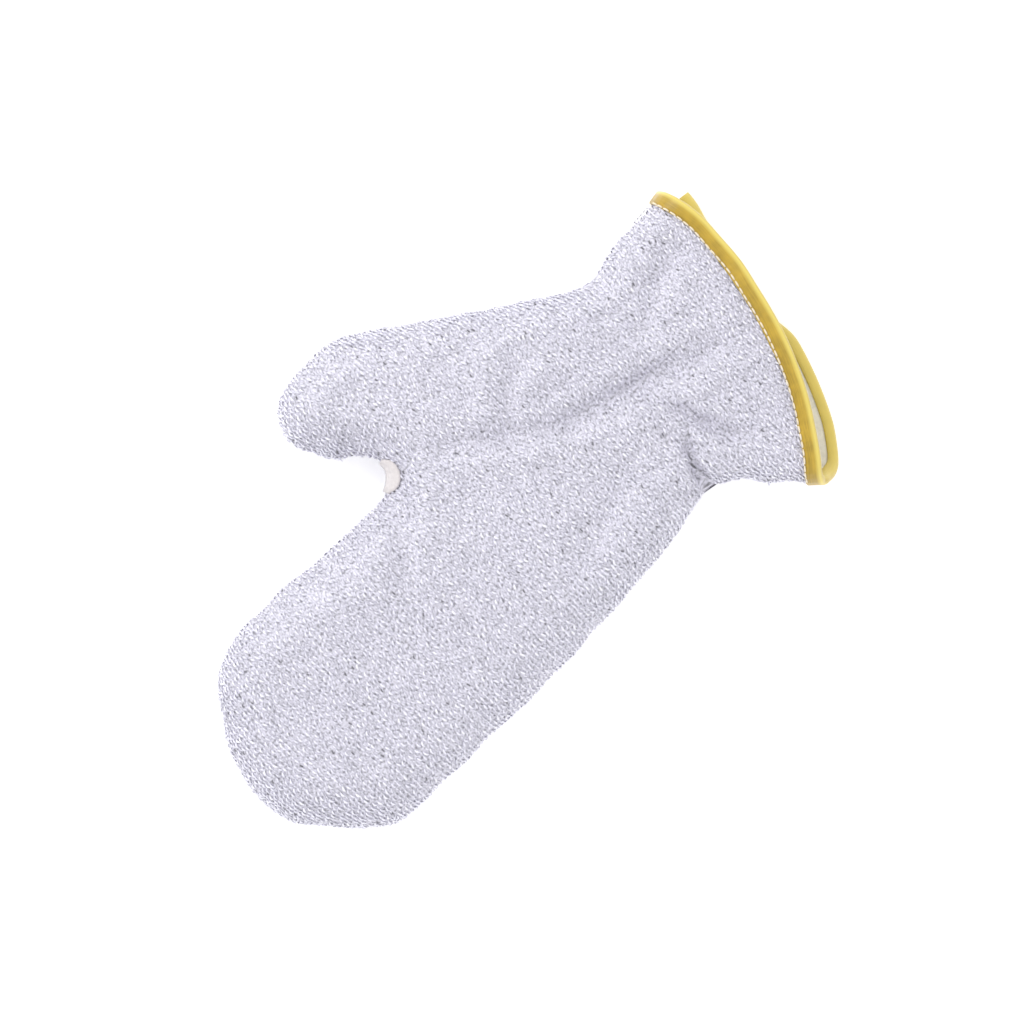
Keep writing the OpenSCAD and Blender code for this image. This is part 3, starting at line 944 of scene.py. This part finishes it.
def sweep(name, line, normals, profile, material, closed=False):
    """A closed profile, or one for each point, carried along a line: profile gives places along the
    outward direction of the hem and along the surface normal."""
    ahead = along_line(line, closed)
    up = square_to(normals, ahead)
    shape = np.asarray(profile, float)
    points = carried(shape, line, np.cross(up, ahead), up)
    first = shape.reshape(-1, points.shape[1], 2)[0]
    uv = np.stack(np.broadcast_arrays(column(run_along(line)), run_along(first)), axis=2)
    return mesh_piece(name, points.reshape(-1, 3), tube_faces(*points.shape[:2], closed), material,
                      uv=uv.reshape(-1, 2))


def outwards(piece):
    """Turns a closed piece's faces outwards by the sign of its volume."""
    mesh = piece.data
    co = np.zeros(len(mesh.vertices) * 3)
    mesh.vertices.foreach_get("co", co)
    co = co.reshape(-1, 3)
    mesh.calc_loop_triangles()
    tri = np.zeros(len(mesh.loop_triangles) * 3, np.int32)
    mesh.loop_triangles.foreach_get("vertices", tri)
    a, b, c = (co[tri.reshape(-1, 3)[:, k]] for k in range(3))
    if (a * np.cross(b, c)).sum() < 0:
        mesh.flip_normals()
    return piece


def binding_profile(width, deep):
    """The satin strip folded over the hem: outer leaf, rounded fold, narrower inner leaf, back inside.
    Each point: outward, up, and how much light comes through the satin there."""
    satin, leaf = 0.45, width * 0.55
    outer = [(-width, 0.25, 0.1), (-width + 0.5, 0.62, 0.05), (-width * 0.7, 0.72, 0),
             (-width * 0.4, 0.88, 0.05), (-1.1, 1.0, 0.1), (-0.3, 1.1, 0.6),
             (0.45, 0.98, 1), (1.3, 0.2, 0.5), (1.5, -0.7, 0.4),
             (1.35, -1.6, 0.6), (0.8, -2.4, 0.7), (0.0, -2.9, 0.7), (-1.5, -deep - 0.4, 0.6),
             (-leaf + 0.4, -deep - 0.55, 0.6), (-leaf, -deep - 0.35, 0.6)]
    inner = [(-leaf, -deep + 0.1, 0.3), (-1.4, -deep + 0.1, 0.3), (0.1, -2.9 + satin, 0.3),
             (0.85, -1.6, 0.3), (1.0, -0.7, 0.3), (0.7, 0.15, 0.3),
             (-0.2, 0.5, 0.3), (-width * 0.7, 0.2, 0.1), (-width, 0.02, 0.1)]
    return np.array(outer + inner)


def build_binding(material):
    """The golden satin binding: one strip from the thumb-side seam along the front hem, round the
    little finger's corner, and back along the back hem to a second free end."""
    trims = settings("trims")
    width = trims.binding
    front, front_up = hem_line(FRONT)
    back, back_up = hem_line(BACK)
    line = np.concatenate([front, back[::-1]])
    ups = np.concatenate([front_up, back_up[::-1]])
    # the front end stands a little past the seam
    first = front[0] + unit(front[0] - front[12]) * 1.8
    line = np.vstack([first, line])
    ups = np.vstack([ups[0], ups])
    both = resample(np.hstack([line, ups]), 1.0)
    line, ups = smooth_line(both[:, :3], 8), unit(smooth_line(both[:, 3:], 8))
    degrees = np.linspace(*FREE_END[[0, -1], 0], 24)
    radius = HEM_R + np.interp(degrees, FREE_END[:, 0], FREE_END[:, 1])
    end = smooth_line(np.column_stack([HEM_CENTRE + column(radius) * rays(np.radians(degrees)),
                                       np.full(len(degrees), 1.45)]), 3)
    down = np.tile([0.0, 0.0, -1.0], (len(end), 1))
    piece = join([satin_strip(line, ups, width, material),
                  satin_strip(end, down, width * 1.05, material, wrap=1.14)], "satin_binding")
    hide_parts("hem_binding")
    return piece


def satin_strip(line, ups, width, material, wrap=1.0):
    """One run of the folded strip; its leaf puckers between stitches and its inner edge wanders."""
    trims = settings("trims")
    rng = np.random.default_rng(5)
    base = binding_profile(width, WRAPPED)
    base, light = base[:, :2] * [1, wrap], base[:, 2]
    runs = np.arange(len(line)) * 1.0
    shapes = np.repeat(base[None], len(line), axis=0)
    pucker = 0.14 * np.sin(runs / trims.stitch * math.tau) + 0.16 * np.sin(runs / 9.1 + 1)
    wander = 0.35 * np.sin(runs / 13.7) + 0.2 * np.sin(runs / 5.3 + 2) + rng.normal(0, 0.05, len(line))
    shapes[:, 1:4, 1] += pucker[:, None]
    for row in (0, 1, 2, -2, -1):
        shapes[:, row, 0] += wander
    piece = sweep("satin_strip", line, ups, shapes, material)
    mark(piece, "fold", np.tile(light, len(line)))
    return outwards(piece)


def thread_run(name, centres, directions, ups, length, thick, material):
    """Short stitches: a small arched tube at each centre."""
    sides, rings = 6, 5
    shape, place = [], []
    for r, t in enumerate(np.linspace(-1, 1, rings)):
        size, high = thick / 2 * (1 - 0.35 * t * t), 0.3 * thick * (1 - 2 * t * t)
        for k in range(sides):
            a = math.tau * k / sides
            shape.append((t * length / 2, size * math.cos(a), size * math.sin(a) + high))
            place.append((r / (rings - 1) * length, k / sides * thick * 3))
    count = len(centres)
    points = carried(np.array(shape), centres, directions, np.cross(ups, directions), ups)
    return outwards(mesh_piece(name, points.reshape(-1, 3),
                               repeated(tube_faces(rings, sides), len(shape), count),
                               material, uv=np.tile(place, (count, 1))))


def build_topstitch(material):
    """Topstitching on the binding's inner edge, front and back."""
    trims = settings("trims")
    for side in (FRONT, BACK):
        line, ups = hem_line(side, out=-trims.binding + 0.4)
        both = resample(np.hstack([line, ups]), trims.stitch * 1.12)
        line = both[2:-2, :3]
        ahead = along_line(line)
        ups = square_to(both[2:-2, 3:], ahead)
        piece = thread_run(f"topstitch_{side}", line + ups * 0.85, ahead, ups, trims.stitch,
                           trims.thread * 1.6, material)
        if side == FRONT:
            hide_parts("binding_stitching")
        attach(piece, "cuff")


def wrist_ring(inset, step=1.2):
    """A closed line round the inside of the wrist at a depth below the outer face, with normals."""
    plan = WRIST_AT + column(np.linspace(-60, 60, 1200)) * ACROSS
    plan = plan[nearest(plan)[0] > 0.02]
    top, top_up = surface_at(plan, FRONT)
    low, low_up = surface_at(plan, BACK)
    line = np.concatenate([top, low[::-1]])
    ups = np.concatenate([top_up, low_up[::-1]])
    line = line - ups * inset
    line[:, 2] = np.maximum(line[:, 2], inset)
    both = resample(np.hstack([line, ups]), step)
    line, ups = both[:-1, :3], both[:-1, 3:]
    for _ in range(3):
        line = (line * 2 + np.roll(line, 1, axis=0) + np.roll(line, -1, axis=0)) / 4
    return line, unit(ups)


def build_elastic(material, thread):
    """The wrist elastic inside the liner, ribbed along its length, and the zigzag that holds it."""
    form, trims = settings("form"), settings("trims")
    depth = form.shell + form.liner + 1.6
    line, ups = wrist_ring(depth)
    half = trims.elastic / 2
    ribs = 9
    top = [(-half + trims.elastic * k / (2 * ribs), 0.0 if k % 2 else -0.28) for k in range(2 * ribs + 1)]
    profile = top + [(x, -1.0 + (0.0 if k % 2 else 0.28)) for k, (x, _) in enumerate(top)][::-1]
    piece = outwards(sweep("elastic_band", line, ups, profile, material, closed=True))
    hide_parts("wrist_elastic")
    attach(piece, "hand")
    inner, inner_up = wrist_ring(depth + 1.15, step=trims.stitch)
    ahead = along_line(inner, closed=True)
    zig = column(np.where(np.arange(len(inner)) % 2 == 0, 1.0, -1.0))
    direction = unit(ahead * 0.62 + np.cross(ahead, inner_up) * zig * 0.78)
    down = square_to(-inner_up, direction)
    piece = thread_run("elastic_zigzag", inner, direction, down, trims.stitch * 1.5, trims.thread, thread)
    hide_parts("elastic_stitching")
    attach(piece, "hand")


def build_bar_tack(material):
    """Close zigzag at the thumb-side seam, just inside the binding."""
    trims = settings("trims")
    far = HEM_R - trims.binding - 1.6
    k = np.argmin(np.abs(np.linalg.norm(LINE - HEM_CENTRE, axis=1) - far) + 900 * (LINE[:, 0] < 20)
                  + 900 * (LINE[:, 1] > -60))
    ahead = unit(LINE[(k + 2) % len(LINE)] - LINE[k])
    out = np.array([*LINE_OUT[k], 0.0])
    count = 9
    run = np.linspace(0, 7, count)
    centres = np.column_stack([LINE[k] + ahead * column(run), np.full(count, SEAM_Z)]) + out * 0.25
    slant = np.where(np.arange(count) % 2 == 0, 0.35, -0.35)
    direction = unit(np.column_stack([column(slant) * ahead, np.ones(count)]))
    ups = np.tile(out, (count, 1))
    piece = thread_run("seam_bar_tack", centres, direction, ups, TACK, trims.thread, material)
    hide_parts("bar_tack")
    attach(piece, "cuff")


def build_web(material):
    """The smooth strip of tape that shows over the seam in the crotch of the thumb."""
    first, last = nearest(np.array([(40.5, 16.0), (32.6, 23.0)]))[3]
    rows = np.arange(min(first, last), max(first, last) + 1)
    fade = np.sin(np.linspace(0.12, math.pi - 0.12, len(rows))) ** 0.5
    inset = np.linspace(0.05, 4.2, 8)
    plan = LINE[rows, None] - LINE_OUT[rows, None] * inset[None, :, None] * fade[:, None, None]
    points, normals = surface_at(plan.reshape(-1, 2), FRONT)
    groove = 0.25 * np.cos(inset / 4.2 * math.tau * 1.5)
    raised = column(np.tile(groove, len(rows))) + 0.55
    count = len(inset)
    first = (np.arange(len(rows) - 1)[:, None] * count + np.arange(count - 1)[None]).ravel()
    cells = np.column_stack([first, first + 1, first + 1 + count, first + count])
    points, faces = shell_of(points + normals * raised, points - normals * 0.4, cells)
    uv = np.stack(np.broadcast_arrays(np.arange(len(rows))[:, None] * OUTLINE_STEP, inset[None]), axis=2)
    piece = outwards(mesh_piece("thumb_crotch_tape", points, faces, material,
                                uv=np.tile(uv.reshape(-1, 2), (2, 1))))
    attach(piece, "thumb")


def build_allowance(kind, material, inset, width, thick):
    """The turned-in seam allowances along the side seam: a folded strip whose edge stands out a little at
    every other step.
    """
    line = LINE - LINE_OUT * inset
    keep = inside_hem(line, FRONT, settings("trims").binding + 1)
    groups = region_of(line)
    profile = [(0, -thick / 2), (0, thick / 2), (width * 0.5, thick * 0.42), (width, thick * 0.3),
               (width + 0.25, 0), (width, -thick * 0.3), (width * 0.5, -thick * 0.42)]
    for k, region in enumerate(REGIONS):
        rows = np.flatnonzero(keep & (groups == k))
        pieces = []
        for part in np.split(rows, np.flatnonzero(np.diff(rows) > 1) + 1):
            if len(part) < 5:
                continue
            flat = smooth_line(line[part], 4)
            path = np.column_stack([flat, np.full(len(flat), SEAM_Z)])
            path = resample(path, 1.3)
            up = np.tile([0.0, 0.0, 1.0], (len(path), 1))
            shapes = np.repeat(np.array(profile)[None], len(path), axis=0)
            shapes[::2, 3:6, 0] += 0.3
            pieces.append(outwards(sweep(f"{kind}_seam_{region}_strip", path, up, shapes, material)))
        piece = join(pieces, f"{kind}_seam_{region}_strip")
        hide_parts(f"{kind}_seam_{region}")
        attach(piece, region)


def join(pieces, name):
    """Several new pieces as one object."""
    if len(pieces) > 1:
        bpy.ops.object.select_all(action="DESELECT")
        for piece in pieces:
            piece.select_set(True)
        bpy.context.view_layer.objects.active = pieces[0]
        bpy.ops.object.join()
    pieces[0].name = name
    return pieces[0]


# ---- Operators ----

TABLE_SIDE = 6                          # metres
SKY = 1.09                              # strength of the even light from all round
SOFTBOX = (0.95, 0.0, 0.9), 0.7, 5.0    # place and side in metres, power in watts
CAMERA_OVER = np.array([-7.2, -5.6])    # the place on the table below the camera
SENSOR = 36                             # width of the camera's sensor, in mm


class MITT_OT_stage(bpy.types.Operator):
    """Table, soft studio light and the camera above the mitt."""

    bl_idname = "mitt.stage"
    bl_label = "Stage"

    def execute(self, context):
        stage = settings("stage")
        bpy.ops.object.select_all(action="DESELECT")
        bpy.ops.mesh.primitive_plane_add(size=TABLE_SIDE)
        floor = context.active_object
        floor.name = "table_top"
        floor.data.materials.append(table_material())
        scene = context.scene
        scene.view_settings.view_transform = "Standard"
        world = bpy.data.worlds.new("studio")
        world.use_nodes = True
        sky = world.node_tree.nodes["Background"].inputs
        sky["Color"].default_value = srgb("FFFFFF")
        sky["Strength"].default_value = SKY
        scene.world = world
        self.area(*SOFTBOX)
        low, high = CAD_BOX
        data = bpy.data.cameras.new("camera")
        data.lens = stage.lens
        data.sensor_width = SENSOR
        camera = bpy.data.objects.new("camera", data)
        scene.collection.objects.link(camera)
        away = stage.picture * MM * stage.lens / SENSOR
        camera.location = (*(CAMERA_OVER * MM), (low.z + high.z) / 2 + away)
        camera.rotation_euler = (0, 0, stage.turn)
        data.clip_end = 20
        scene.camera = camera
        return {"FINISHED"}

    def area(self, place, size, power):
        """A square soft light that looks at the mitt."""
        data = bpy.data.lights.new("softbox", "AREA")
        data.size = size
        data.energy = power
        lamp = bpy.data.objects.new("softbox", data)
        lamp.location = place
        lamp.rotation_euler = (-Vector(place)).to_track_quat("-Z", "Y").to_euler()
        bpy.context.scene.collection.objects.link(lamp)


class MITT_OT_shell(bpy.types.Operator):
    """The knitted shell: its ground cloth and the raised loops on it."""

    bl_idname = "mitt.shell"
    bl_label = "Knitted shell"

    def execute(self, context):
        ground, yarn = ground_material(), yarn_material()
        for side in (FRONT, BACK):
            build_cloth("shell", side, GROUND_DEPTH, settings("form").shell, ground, "ground")
            build_knit(side, yarn)
        return {"FINISHED"}


class MITT_OT_liner(bpy.types.Operator):
    """The brushed liner inside the shell."""

    bl_idname = "mitt.liner"
    bl_label = "Liner"

    def execute(self, context):
        flannel, outer = liner_material(), settings("form").shell + LINER_GAP
        for side in (FRONT, BACK):
            build_cloth("liner", side, outer, outer + settings("form").liner, flannel,
                        "flannel")
        return {"FINISHED"}


class MITT_OT_seams(bpy.types.Operator):
    """The seam allowances turned in between the cloths."""

    bl_idname = "mitt.seams"
    bl_label = "Seams"

    def execute(self, context):
        build_allowance("shell", ground_material(), inset=2.2, width=2.6, thick=2.0)
        build_allowance("liner", liner_material(), inset=6.2, width=2.4, thick=1.4)
        build_web(liner_material("cotton_tape", srgb("D9D3D3")))
        return {"FINISHED"}


class MITT_OT_binding(bpy.types.Operator):
    """The satin binding round the hem and its topstitching."""

    bl_idname = "mitt.binding"
    bl_label = "Binding"

    def execute(self, context):
        attach(build_binding(satin_material()), "cuff")
        build_topstitch(thread_material("gold_thread", "F6E8CC"))
        return {"FINISHED"}


class MITT_OT_wrist(bpy.types.Operator):
    """The wrist elastic, its zigzag and the bar tack."""

    bl_idname = "mitt.wrist"
    bl_label = "Elastic and tacks"

    def execute(self, context):
        white = thread_material("white_thread", "F4F4F6")
        build_elastic(elastic_material(), white)
        build_bar_tack(white)
        return {"FINISHED"}


class MITT_PT_panel(bpy.types.Panel):
    """The mitt's pieces in the sidebar"""

    bl_label = "Cleaning mitt"
    bl_idname = "MITT_PT_panel"
    bl_space_type = "VIEW_3D"
    bl_region_type = "UI"
    bl_category = "Mitt"

    def draw(self, context):
        for operator in OPERATORS:
            self.layout.operator(operator.bl_idname)


GROUPS = {"form": MittForm, "knit": MittKnit, "trims": MittTrims, "stage": MittStage}
OPERATORS = (MITT_OT_stage, MITT_OT_shell, MITT_OT_liner, MITT_OT_seams, MITT_OT_binding, MITT_OT_wrist)


def register():
    for name, group in GROUPS.items():
        bpy.utils.register_class(group)
        setattr(bpy.types.Scene, "mitt_" + name, bpy.props.PointerProperty(type=group))
    for operator in (*OPERATORS, MITT_PT_panel):
        bpy.utils.register_class(operator)


def unregister():
    for operator in reversed((*OPERATORS, MITT_PT_panel)):
        bpy.utils.unregister_class(operator)
    for name, group in GROUPS.items():
        delattr(bpy.types.Scene, "mitt_" + name)
        bpy.utils.unregister_class(group)


def main():
    register()
    bpy.ops.mitt.stage()
    bpy.ops.mitt.shell()
    bpy.ops.mitt.liner()
    bpy.ops.mitt.seams()
    bpy.ops.mitt.binding()
    bpy.ops.mitt.wrist()


if __name__ == "__main__":
    main()
